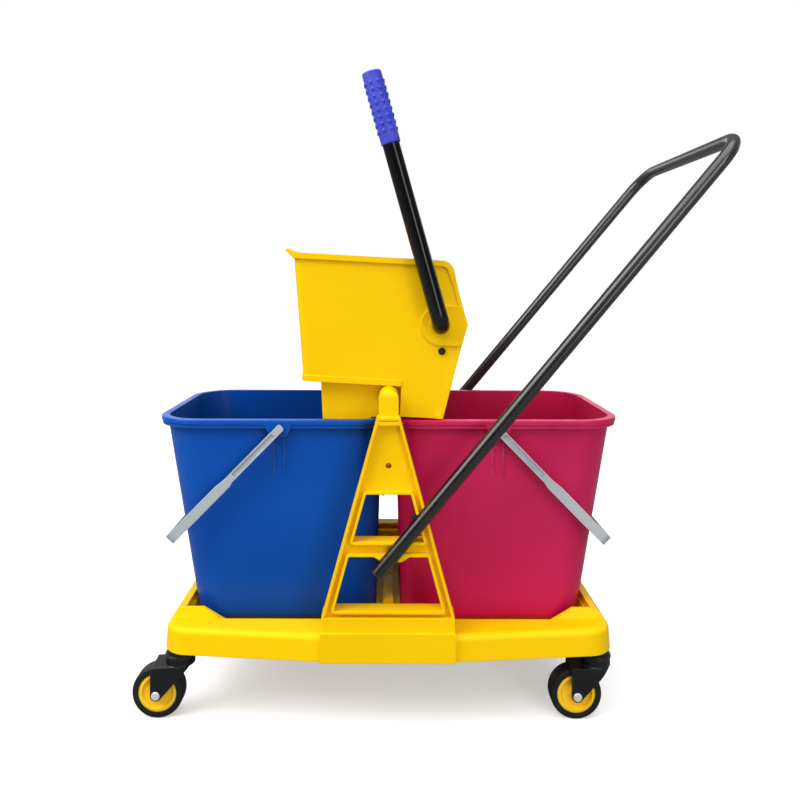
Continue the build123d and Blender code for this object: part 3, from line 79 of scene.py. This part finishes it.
class Nodes:
    """A node tree that is built up node by node."""

    def __init__(self, tree):
        self.tree = tree

    def add(self, kind, settings, sockets, output=0):
        """New node with its settings made, then its sockets set or linked. Gives one of its outputs."""
        node = self.tree.nodes.new(kind)
        for name, value in settings.items():
            setattr(node, name, value)
        for name, value in sockets.items():
            self.feed(node.inputs[name], value)
        return Wire(self, node.outputs[output])

    def feed(self, socket, value):
        """Links a wire to a socket, or sets a plain value on it."""
        if isinstance(value, Wire):
            self.tree.links.new(value.socket, socket)
        else:
            socket.default_value = value

    def ramp(self, value, low, high):
        """Value mapped from low..high to 0..1 and held there."""
        span = {"Value": value, "From Min": low, "From Max": high}
        return self.add("ShaderNodeMapRange", {"clamp": True}, span)

    def blend(self, share, first, second):
        """Colour between two colours."""
        colours = {0: share, 6: first, 7: second}
        return self.add("ShaderNodeMix", {"data_type": "RGBA"}, colours, 2)


class Finish(Nodes):
    """A surface finish: one material on Object coordinates."""

    def __init__(self, name):
        self.material = bpy.data.materials.new(name)
        self.material.use_nodes = True
        super().__init__(self.material.node_tree)
        self.shader = self.tree.nodes["Principled BSDF"]
        self.place = self.add("ShaderNodeTexCoord", {}, {}, "Object")

    def noise(self, scale, detail):
        """Soft noise about 0.5, its grains 1/scale metres across."""
        return self.add("ShaderNodeTexNoise", {}, {"Vector": self.place, "Scale": scale, "Detail": detail})

    def bump(self, height, depth, normal):
        """Surface relief, depth in metres, over a normal."""
        return self.add("ShaderNodeBump", {}, {"Height": height, "Distance": depth, "Normal": normal})

    def soft_edges(self, radius):
        """Normal that rounds every edge off."""
        return self.add("ShaderNodeBevel", {"samples": 6}, {"Radius": radius})

    def worn_and_lit_edges(self, rounded, slight=0.01, full=0.12):
        """1 on the edges that a rounded normal turns away from, 0 on the faces; paler edges here are wear and
        painted highlight.
        """
        flat = self.add("ShaderNodeNewGeometry", {}, {}, "Normal")
        pair = {0: rounded, 1: flat}
        along = self.add("ShaderNodeVectorMath", {"operation": "DOT_PRODUCT"}, pair, "Value")
        return self.ramp(1 - along, slight, full)

    def corner_shading_mask(self, reach, slight=0.2, full=0.8):
        """Ambient occlusion as a mask for painted shade: 1 deep in the corners between faces, 0 in the open.
        """
        clear = self.add("ShaderNodeAmbientOcclusion", {"samples": 8}, {"Distance": reach}, "AO")
        return self.ramp(1 - clear, slight, full)

    def shade(self, **sockets):
        """Sets or links the shader's own sockets. Gives the material."""
        for name, value in sockets.items():
            self.feed(self.shader.inputs[name.replace("_", " ")], value)
        return self.material


def tint(code):
    """Linear colour of a six-digit screen colour."""
    shares = [int(code[i:i + 2], 16) / 255 for i in (0, 2, 4)]
    return [s / 12.92 if s < 0.04045 else ((s + 0.055) / 1.055) ** 2.4 for s in shares] + [1]


MOULD_EDGE = 0.0014
# Reach and share of the painted shade in corners and hollows, and share of the paler edges, which are wear
# and painted highlight.
CORNER_SHADING_REACH = 0.016
CORNER_SHADING_SHARE = 0.75
HOLLOW_SHADING_SHARE = 0.7
WORN_LIT_SHARE = 0.6


def moulded(name, deep, bright, worn_lit_edge, corner_shading, rough, shine=0.14, hollow_shading_reach=None):
    """Moulded plastic: slow flow marks, a fine orange peel, edges of wear and painted highlight, painted
    shade in corners and hollows.
    """
    finish = Finish(name)
    flow = finish.noise(scale=6.0, detail=3.0)
    fleck = finish.noise(scale=900.0, detail=2.0)
    rounded = finish.soft_edges(MOULD_EDGE)
    patches = finish.ramp(finish.noise(scale=55.0, detail=4.0), low=0.3, high=0.6)
    worn_lit = finish.worn_and_lit_edges(rounded) * patches
    marks = finish.ramp(flow * 0.8 + fleck * 0.2, low=0.35, high=0.65)
    colour = finish.blend(marks, tint(deep), tint(bright))
    # Painted shade: the corner colour goes in where ambient occlusion finds corners and, when a reach is
    # given, hollows.
    colour = finish.blend(finish.corner_shading_mask(CORNER_SHADING_REACH) * CORNER_SHADING_SHARE, colour, tint(corner_shading))
    if hollow_shading_reach:
        colour = finish.blend(finish.corner_shading_mask(hollow_shading_reach) * HOLLOW_SHADING_SHARE, colour, tint(corner_shading))
    # Paler edges: partly wear, partly painted highlight.
    colour = finish.blend(worn_lit * WORN_LIT_SHARE, colour, tint(worn_lit_edge))
    normal = finish.bump(finish.noise(scale=420.0, detail=3.0), depth=0.00006, normal=rounded)
    cloud = finish.ramp(finish.noise(scale=21.0, detail=5.0), low=0.4, high=0.75)
    rough = rough + cloud * 0.08 + fleck * 0.06
    return finish.shade(Base_Color=colour, Roughness=rough, Normal=normal, Specular_IOR_Level=shine)


def zinc():
    """Zinc-plated steel, a little blue and cloudy."""
    finish = Finish("zinc_steel")
    spangle = finish.noise(scale=300.0, detail=4.0)
    colour = finish.blend(spangle, tint("C6CACB"), tint("F4F5F3"))
    rounded = finish.soft_edges(radius=0.0005)
    normal = finish.bump(finish.noise(scale=900.0, detail=2.0), depth=0.00004, normal=rounded)
    rough = 0.22 + spangle * 0.2
    return finish.shade(Base_Color=colour, Roughness=rough, Metallic=0.45, Normal=normal)


def tyre_rubber():
    """Tyre rubber, matt black with a dusty bloom."""
    finish = Finish("tyre_rubber")
    bloom = finish.ramp(finish.noise(scale=70.0, detail=5.0), low=0.4, high=0.75)
    colour = finish.blend(bloom, tint("101112"), tint("1E1F20"))
    rounded = finish.soft_edges(radius=0.0015)
    normal = finish.bump(finish.noise(scale=1400.0, detail=3.0), depth=0.0001, normal=rounded)
    rough = 0.45 + bloom * 0.25
    return finish.shade(Base_Color=colour, Roughness=rough, Normal=normal, Specular_IOR_Level=0.3)


def give(material, *names):
    """Puts a finish on CAD nodes."""
    for name in names:
        frame["nodes"][name].material_slots[0].material = material


SAME_PLACE = 1e-6
ROUND_STEPS = 48
CRISP_ANGLE = radians(35)


def prism(mesh, outline, near, far):
    """Adds a closed prism to a mesh: an outline in X and Z, drawn out along Y."""
    face = mesh.faces.new([mesh.verts.new((x, near, z)) for x, z in outline])
    grown = bmesh.ops.extrude_face_region(mesh, geom=[face], use_keep_orig=True)["geom"]
    moved = [part for part in grown if isinstance(part, bmesh.types.BMVert)]
    bmesh.ops.translate(mesh, verts=moved, vec=(0, far - near, 0))


def turned(mesh, profile):
    """Adds a round form to a mesh: a profile in radius and height, turned about the Z axis."""
    corners = [mesh.verts.new((radius, 0, z)) for radius, z in profile]
    run = [mesh.edges.new(pair) for pair in zip(corners, corners[1:])]
    bmesh.ops.spin(mesh, geom=corners + run, cent=(0, 0, 0), axis=(0, 0, 1), angle=2 * pi,
                   steps=ROUND_STEPS, use_merge=True)
    bmesh.ops.remove_doubles(mesh, verts=mesh.verts, dist=SAME_PLACE)


def round_off(mesh, edges, radius, steps):
    """Rounds edges of a mesh off."""
    bmesh.ops.bevel(mesh, geom=edges, offset=radius, segments=steps, profile=0.5, affect="EDGES",
                    material=-1)


def finished(name, mesh, material, body):
    """Turns a bmesh into a piece with smooth rounds and crisp edges that moves with a body."""
    bmesh.ops.recalc_face_normals(mesh, faces=mesh.faces)
    for face in mesh.faces:
        face.smooth = True
    data = bpy.data.meshes.new(name)
    mesh.to_mesh(data)
    mesh.free()
    data.set_sharp_from_angle(angle=CRISP_ANGLE)
    data.materials.append(material)
    piece = bpy.data.objects.new(name, data)
    bpy.context.scene.collection.objects.link(piece)
    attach(piece, body)
    return piece


TRAIL = 0.0315
AXLE_Z = 0.038
CHEEK_T = 0.0055
CHEEK_FOOT = 0.025
CHEEK_FOOT_R = 0.0082
CHEEK_REAR_Z = 0.0785
CHEEK_SLOPE = radians(47.5)
FOOT_CUTS = 12
WALL_STEPS = 24
CROWN_Z = 0.0813
CROWN_T = 0.0021
CROWN_SINK = 0.0004
HEAD_BORE = 0.0075
HEAD_SEAT = 0.0108
HEAD_SEAT_Z = 0.0858
HEAD_NECK = 0.0196
HEAD_RIM = 0.0008
HEAD_RIM_LOW, HEAD_RIM_TOP = 0.0906, 0.0947
HEAD_TOP = 0.1004
EDGE_R = 0.0006
EDGE_ANGLE = 1.0


def fork_mesh(half):
    """Caster fork round its own swivel axis, half wide to each side, its wheel trailing towards -X."""
    mesh = bmesh.new()

    # The cheeks and the round front wall are one bent sheet, cut to the slope of its front edge and to
    # round feet.
    rear = -TRAIL - CHEEK_FOOT_R
    start = mesh.verts.new((0, -half, CHEEK_FOOT))
    bmesh.ops.spin(mesh, geom=[start], cent=(0, 0, 0), axis=(0, 0, 1), angle=pi, steps=WALL_STEPS)
    ends = [v for v in mesh.verts if abs(v.co.x) < SAME_PLACE]
    for end in ends:
        mesh.edges.new((end, mesh.verts.new((rear, end.co.y, CHEEK_FOOT))))
    wall = bmesh.ops.extrude_edge_only(mesh, edges=mesh.edges[:])["geom"]
    crest = [part for part in wall if isinstance(part, bmesh.types.BMVert)]
    for corner in crest:
        corner.co.z = CROWN_Z if corner.co.x > rear + EDGE_R else CHEEK_REAR_Z
    for step in range(FOOT_CUTS + 1):
        turn = pi + (pi / 2 + CHEEK_SLOPE) * step / FOOT_CUTS
        away = Vector((cos(turn), 0, sin(turn)))
        foot = away * CHEEK_FOOT_R + Vector((-TRAIL, 0, AXLE_Z))
        sheet = mesh.verts[:] + mesh.edges[:] + mesh.faces[:]
        bmesh.ops.bisect_plane(mesh, geom=sheet, plane_co=foot, plane_no=away, clear_outer=True)
    bmesh.ops.recalc_face_normals(mesh, faces=mesh.faces)
    bmesh.ops.solidify(mesh, geom=mesh.faces[:], thickness=CHEEK_T)
    brims = [e for e in mesh.edges if len(e.link_faces) == 2 and e.calc_face_angle() > EDGE_ANGLE]
    round_off(mesh, brims, EDGE_R, steps=2)

    # The crown joins the cheeks over the wheel and the head stands on it, bored for the kingpin.
    below = CROWN_Z - CROWN_T
    crown = [(rear + EDGE_R, CHEEK_REAR_Z - CROWN_SINK), (0, CROWN_Z - CROWN_SINK), (0, below),
             (rear + EDGE_R, CHEEK_REAR_Z - CROWN_T)]
    prism(mesh, crown, CHEEK_T / 2 - half, half - CHEEK_T / 2)
    rim = half + HEAD_RIM
    turned(mesh, [(HEAD_SEAT, below), (half, below), (half, HEAD_RIM_LOW), (rim, HEAD_RIM_LOW + HEAD_RIM),
                  (rim, HEAD_RIM_TOP - HEAD_RIM), (half, HEAD_RIM_TOP), (HEAD_NECK, HEAD_RIM_TOP),
                  (HEAD_NECK, HEAD_TOP), (HEAD_BORE, HEAD_TOP), (HEAD_BORE, HEAD_SEAT_Z),
                  (HEAD_SEAT, HEAD_SEAT_Z), (HEAD_SEAT, below)])
    return mesh


CORNERS = ("fl", "fr", "rl", "rr")
black_plastic = moulded("black_plastic", deep="08090B", bright="0E1012", worn_lit_edge="6C7478", corner_shading="040405",
                        rough=0.3, shine=0.32)
# The yellow's corner colour is paler than its body: painted light that lifts the rendered shade out of its
# corners.
yellow_plastic = moulded("yellow_plastic", deep="F0BE00", bright="F4C500", worn_lit_edge="FFE640", corner_shading="FFC600",
                         rough=0.3, shine=0.1)
hub_yellow = moulded("hub_yellow", deep="FACA14", bright="FFD428", worn_lit_edge="FFF07A", corner_shading="F09800",
                     rough=0.3, shine=0.2)
zinc_steel = zinc()
tyre_black = tyre_rubber()
give(black_plastic, "caster_stems")
swivels = {joint["name"]: joint["pos_m"] for joint in frame["joints"] if joint["type"] == "hinge"}
for corner in CORNERS:
    low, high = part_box("caster_fork_" + corner)
    swivel = swivels["caster_swivel_" + corner]
    fork = fork_mesh((high.y - low.y) / 2)
    bmesh.ops.translate(fork, verts=fork.verts, vec=swivel)
    piece = finished("fork_" + corner, fork, black_plastic, "caster_" + corner)
    give(black_plastic, "caster_fork_" + corner)
    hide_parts("caster_fork_" + corner)
    give(zinc_steel, "caster_axle_" + corner)
    give(hub_yellow, "wheel_hub_" + corner)
    give(tyre_black, "wheel_tyre_" + corner)

# Base deck: one yellow moulding with two wells for the buckets and a ribbed underside. The casters
# stand in its corners.
give(yellow_plastic, "base_deck")

# Stands: two yellow mouldings screwed to the deck from below, front and rear. Their posts carry the
# wringer, and the push handle is screwed to their sides.
give(yellow_plastic, "front_stand", "rear_stand")
give(zinc_steel, "stand_screws")

# Buckets: a blue one for clean water and a red one for dirty water, thin mouldings with a rolled rim.
# They stand loose in the deck's wells.
# Reach of the painted shade that darkens the buckets' insides and the faces seen behind the stands.
BUCKET_SHADING_REACH = 0.4
blue_plastic = moulded("blue_plastic", deep="0448A4", bright="074EAE", worn_lit_edge="4C86DA", corner_shading="022C74",
                       rough=0.28, hollow_shading_reach=BUCKET_SHADING_REACH)
red_plastic = moulded("red_plastic", deep="BF1F53", bright="C7255B", worn_lit_edge="F07AA4", corner_shading="AE0038",
                      rough=0.28, hollow_shading_reach=BUCKET_SHADING_REACH)
give(blue_plastic, "blue_bucket")
give(red_plastic, "red_bucket")

# Bails: satin grey moulded straps that the buckets are carried by. Their pins snap into the bosses on
# the buckets' sides.
grey_plastic = moulded("grey_plastic", deep="A2A8AE", bright="AEB4B9", worn_lit_edge="F0F3F5", corner_shading="666E74",
                       rough=0.36, shine=0.4)
give(grey_plastic, "blue_bail", "red_bail")


# Push handle: steel tube bent into a U and powder coated black, with snap buttons, end plugs and two
# black screws through each stand. The coat is painted paler towards the top, a painted highlight.
LIT_TOP_FROM, LIT_TOP_TO = 0.46, 0.90


def black_coat(name, deep, bright, rough, shine, lit_top=None):
    """Black coat on steel: a fine orange peel, a little dust, and, where asked for, a painted highlight that
    pales it towards the top.
    """
    finish = Finish(name)
    peel = finish.noise(scale=650.0, detail=3.0)
    dust = finish.ramp(finish.noise(scale=25.0, detail=6.0), low=0.45, high=0.8)
    colour = finish.blend(dust, tint(deep), tint(bright))
    if lit_top:
        height = finish.add("ShaderNodeSeparateXYZ", {}, {0: finish.place}, "Z")
        colour = finish.blend(finish.ramp(height, LIT_TOP_FROM, LIT_TOP_TO), colour, tint(lit_top))
    normal = finish.bump(peel, depth=0.00002, normal=finish.soft_edges(radius=0.0008))
    rough = rough + dust * 0.08 + peel * 0.04
    return finish.shade(Base_Color=colour, Roughness=rough, Normal=normal, Specular_IOR_Level=shine)


satin_black = black_coat("satin_black", deep="060707", bright="0A0B0C", rough=0.22, shine=0.72, lit_top="2E3234")
black_steel = black_coat("black_steel", deep="0B0B0C", bright="141516", rough=0.36, shine=0.5)
give(satin_black, "push_handle")
give(black_plastic, "handle_buttons", "handle_plugs")
give(black_steel, "handle_screws")

# Wringer: a yellow moulded box with a pour lip, seated on the two posts. Yellow bushes carry the lever's
# shaft, and black shoulder bolts carry the press plate.
give(yellow_plastic, "wringer_shell", "shaft_bushes")
give(black_steel, "plate_pivots")


# Corner webs: two small webs moulded with the wringer in its yellow plastic, which carry the skirt on
# behind the posts. They are drawn upright and then lean as the wringer does.
WEB_LOW, WEB_HIGH = Vector((-0.0246, 0.1168, 0.4424)), Vector((-0.0130, 0.1313, 0.4492))
WEB_EDGE = 0.0008
WRINGER_SEAT = 0.494
WRINGER_TILT = radians(3)


def lean(mesh):
    """Turns a mesh that was drawn upright to the wringer's lean on its posts."""
    tilt = Matrix.Rotation(WRINGER_TILT, 3, "Y")
    bmesh.ops.rotate(mesh, verts=mesh.verts, cent=(0, 0, WRINGER_SEAT), matrix=tilt)


webs = bmesh.new()
web_size = Matrix.Diagonal((*(WEB_HIGH - WEB_LOW), 1))
for side in (-1, 1):
    middle = (WEB_HIGH + WEB_LOW) / 2
    middle.y *= side
    bmesh.ops.create_cube(webs, size=1, matrix=Matrix.Translation(middle) @ web_size)
round_off(webs, webs.edges[:], WEB_EDGE, steps=3)
lean(webs)
web = finished("corner_webs", webs, yellow_plastic, "wringer")

# Rim tapers: short forms moulded with the wringer on its front and rear, where the bead round the
# upper right corner narrows into the thinner border of the edge. They grow out of the bead and fall
# off to the border in two slopes from a low crest.
TAPER_OUTLINE = ((0.0822, 0.6725), (0.0885, 0.6725), (0.0906, 0.6675), (0.0966, 0.6455), (0.0905, 0.6455),
                 (0.0815, 0.6675))
TAPER_ROOT = 0.1465
TAPER_PROUD = 0.1512
TAPER_CREST_Y, TAPER_CREST_Z = 0.1511, 0.6690
TAPER_SLOPES = ((0.0050, 0.0006), (0.0235, -0.0021))
tapers = bmesh.new()
for side in (-1, 1):
    prism(tapers, TAPER_OUTLINE, side * TAPER_ROOT, side * TAPER_PROUD)
    crest = (0, side * TAPER_CREST_Y, TAPER_CREST_Z)
    for outward, upward in TAPER_SLOPES:
        slope = (0, side * outward, upward)
        block = tapers.verts[:] + tapers.edges[:] + tapers.faces[:]
        cut = bmesh.ops.bisect_plane(tapers, geom=block, plane_co=crest, plane_no=slope, clear_outer=True)
        brim = [part for part in cut["geom_cut"] if isinstance(part, bmesh.types.BMEdge)]
        bmesh.ops.holes_fill(tapers, edges=brim)
lean(tapers)
taper = finished("rim_tapers", tapers, yellow_plastic, "wringer")

# Lever: one black tube bent at the foot into the shaft, with an end cap and two white nylon pinions
# pinned to the shaft.
white_nylon = moulded("white_nylon", deep="D6D7D0", bright="E2E3DC", worn_lit_edge="EFEFEA", corner_shading="A9A89C",
                      rough=0.42)
gloss_black = black_coat("gloss_black", deep="050506", bright="090A0A", rough=0.14, shine=0.36)
give(gloss_black, "lever_tube")
give(black_plastic, "shaft_cap")
give(white_nylon, "pinion_front", "pinion_rear")
give(zinc_steel, "pinion_pins")


# Grip: a soft blue-violet rubber sleeve pushed over the lever's end, closed at the top, with eight rows
# of eight round nubs between two smooth bands.
GRIP_LEAN = radians(-15.75)
GRIP_SOLID_R = 0.0154
GRIP_R = 0.0147
GRIP_BORE = 0.0130
GRIP_END = 0.0030
GRIP_ROUND = 0.0024
NUB_R = 0.0029
NUB_DEPTH = 0.0019
NUB_LIFT = 0.0004
NUB_ROWS = 8
NUB_COLUMNS = 8
NUB_PITCH = 0.0104
NUB_FROM_TOP = 0.0175


def soft_rubber():
    """Grip rubber: matt, a fine grain and paler edges on the nubs, partly wear and partly painted highlight.
    """
    finish = Finish("grip_rubber")
    cloud = finish.noise(scale=60.0, detail=4.0)
    rounded = finish.soft_edges(radius=0.001)
    colour = finish.blend(finish.ramp(cloud, low=0.35, high=0.65), tint("3A42BE"), tint("474FCC"))
    colour = finish.blend(finish.worn_and_lit_edges(rounded) * 0.3, colour, tint("7C84F0"))
    normal = finish.bump(finish.noise(scale=1600.0, detail=2.0), depth=0.00006, normal=rounded)
    rough = 0.42 + cloud * 0.12
    return finish.shade(Base_Color=colour, Roughness=rough, Normal=normal, Specular_IOR_Level=0.35)


low, high = (Vector(corner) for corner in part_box("lever_grip"))
grip_length = ((high.z - low.z) - 2 * GRIP_SOLID_R * sin(-GRIP_LEAN)) / cos(GRIP_LEAN)
top = grip_length / 2
sleeve = bmesh.new()
turned(sleeve, [(0, top), (GRIP_R, top), (GRIP_R, -top), (GRIP_BORE, -top), (GRIP_BORE, top - GRIP_END),
                (0, top - GRIP_END)])
wall_middle = (GRIP_BORE + GRIP_R) / 2
brims = [e for e in sleeve.edges if all(v.co.xy.length > wall_middle for v in e.verts)]
brims = [e for e in brims if abs(e.verts[0].co.z - e.verts[1].co.z) < SAME_PLACE]
round_off(sleeve, brims, GRIP_ROUND, steps=5)
for row in range(NUB_ROWS):
    for column in range(NUB_COLUMNS):
        turn = Matrix.Rotation((column + 0.5) * 2 * pi / NUB_COLUMNS, 4, "Z")
        seat = Matrix.Translation((GRIP_R + NUB_LIFT, 0, top - NUB_FROM_TOP - row * NUB_PITCH))
        squash = Matrix.Diagonal((NUB_DEPTH, NUB_R, NUB_R, 1))
        bmesh.ops.create_icosphere(sleeve, subdivisions=2, radius=1, matrix=turn @ seat @ squash)
grip_place = Matrix.Translation((low + high) / 2) @ Matrix.Rotation(GRIP_LEAN, 4, "Y")
bmesh.ops.transform(sleeve, matrix=grip_place, verts=sleeve.verts)
grip_rubber = soft_rubber()
grip = finished("nubbed_grip", sleeve, grip_rubber, "lever")
give(grip_rubber, "lever_grip")
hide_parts("lever_grip")

# Press plate: a slotted moulding that squeezes the mop against the shell, with a nylon gear screwed to
# each end.
give(yellow_plastic, "press_plate")
give(white_nylon, "plate_gear_front", "plate_gear_rear")
give(zinc_steel, "plate_screws")

# Studio: a pale floor that runs out of sight, a wide soft light overhead, a large softbox high on the
# left, a weak fill in front, a tall strip on the right that draws a line along the lever, and a low
# band of light behind. The fill draws no highlights.
FLOOR_HALF = 30.0
FLOOR_TO_EYE = 0.72
FLOOR_TO_PART = 0.25
FLOOR_GRAIN = 0.02
FLOOR_GLOW = 0.42
OVERHEAD_POWER = 2.9
OVERHEAD_SPREAD = radians(70)
OVERHEAD_TURN = (radians(16), radians(-6), 0)
BAND_LOW, BAND_HIGH = 0.10, 0.27
BAND_LOW_FADE, BAND_HIGH_FADE = 0.03, 0.06
BAND_NEAR, BAND_FAR = 0.2, 0.7
BAND_LEVEL = 1.3
ROOM_NEAR, ROOM_FAR = -1.8, 0.6
ROOM_LEVEL = 0.25
MIDDLE = Vector((0, 0, 0.4))


def studio_floor():
    """Floor that stays white to the eye but throws little light back up onto the part."""
    finish = Finish("floor")
    seen = finish.add("ShaderNodeLightPath", {}, {}, "Is Camera Ray")
    grain = finish.noise(scale=3.0, detail=2.0) * FLOOR_GRAIN
    level = seen * (FLOOR_TO_EYE - FLOOR_TO_PART) + FLOOR_TO_PART + grain
    colour = finish.add("ShaderNodeCombineColor", {}, {0: level, 1: level, 2: level})
    glow = finish.blend(seen, (0, 0, 0, 1), (1, 1, 1, 1))
    return finish.shade(Base_Color=colour, Roughness=0.9, Specular_IOR_Level=0.0, Emission_Color=glow,
                        Emission_Strength=FLOOR_GLOW)


def soft_light(name, place, size, power):
    """Rectangular softbox that faces the trolley's middle."""
    data = bpy.data.lights.new(name, "AREA")
    data.shape = "RECTANGLE"
    data.size, data.size_y = size
    data.energy = power
    lamp = bpy.data.objects.new(name, data)
    lamp.location = place
    lamp.rotation_euler = (MIDDLE - Vector(place)).to_track_quat("-Z", "Y").to_euler()
    bpy.context.scene.collection.objects.link(lamp)
    return lamp


floor_mesh = bmesh.new()
bmesh.ops.create_grid(floor_mesh, x_segments=1, y_segments=1, size=FLOOR_HALF)
floor_data = bpy.data.meshes.new("floor")
floor_mesh.to_mesh(floor_data)
floor_mesh.free()
floor_data.materials.append(studio_floor())
floor = bpy.data.objects.new("floor", floor_data)
bpy.context.scene.collection.objects.link(floor)

overhead = bpy.data.lights.new("overhead_light", "SUN")
overhead.energy = OVERHEAD_POWER
overhead.angle = OVERHEAD_SPREAD
overhead_lamp = bpy.data.objects.new("overhead_light", overhead)
overhead_lamp.rotation_euler = OVERHEAD_TURN
bpy.context.scene.collection.objects.link(overhead_lamp)
soft_light("left_softbox", place=(-2.6, -1.3, 2.7), size=(2.6, 2.4), power=102)
front_fill = soft_light("front_fill", place=(0.3, -3.4, 0.9), size=(2.6, 1.6), power=16)
front_fill.visible_glossy = False
soft_light("right_strip", place=(1.35, -2.5, 1.15), size=(0.8, 2.0), power=20)

surround = bpy.data.worlds.new("surround")
surround.use_nodes = True
sky = Nodes(surround.node_tree)
away = sky.add("ShaderNodeTexCoord", {}, {}, "Generated")
seen = sky.add("ShaderNodeLightPath", {}, {}, "Is Camera Ray")
height = sky.add("ShaderNodeSeparateXYZ", {}, {0: away}, "Z")
depth = sky.add("ShaderNodeSeparateXYZ", {}, {0: away}, "Y")
rise = sky.ramp(height, BAND_LOW - BAND_LOW_FADE, BAND_LOW)
fall = sky.ramp(height, BAND_HIGH + BAND_HIGH_FADE, BAND_HIGH)
band = rise * fall * sky.ramp(depth, BAND_NEAR, BAND_FAR)
light = band * BAND_LEVEL + sky.ramp(depth, ROOM_NEAR, ROOM_FAR) * ROOM_LEVEL
light = light * (1 - seen) + seen
background = surround.node_tree.nodes["Background"]
sky.feed(background.inputs["Strength"], light)
sky.feed(background.inputs["Color"], (1, 1, 1, 1))
bpy.context.scene.world = surround
bpy.context.scene.view_settings.view_transform = "Standard"

# Camera: looks level at the trolley's front from a little above the buckets' rims, shifted down to the
# photograph's framing and rolled with it.
CAMERA_PLACE = (0, -1.26, 0.655)
CAMERA_LENS = 33.17
CAMERA_SHIFT = (0.01375, -0.151)
CAMERA_ROLL = radians(-0.15)
CAMERA_REACH = 100
camera_data = bpy.data.cameras.new("studio_camera")
camera_data.lens = CAMERA_LENS
camera_data.shift_x, camera_data.shift_y = CAMERA_SHIFT
camera_data.clip_end = CAMERA_REACH
camera = bpy.data.objects.new("studio_camera", camera_data)
camera.location = CAMERA_PLACE
camera.rotation_euler = (pi / 2, CAMERA_ROLL, 0)
bpy.context.scene.collection.objects.link(camera)
bpy.context.scene.camera = camera
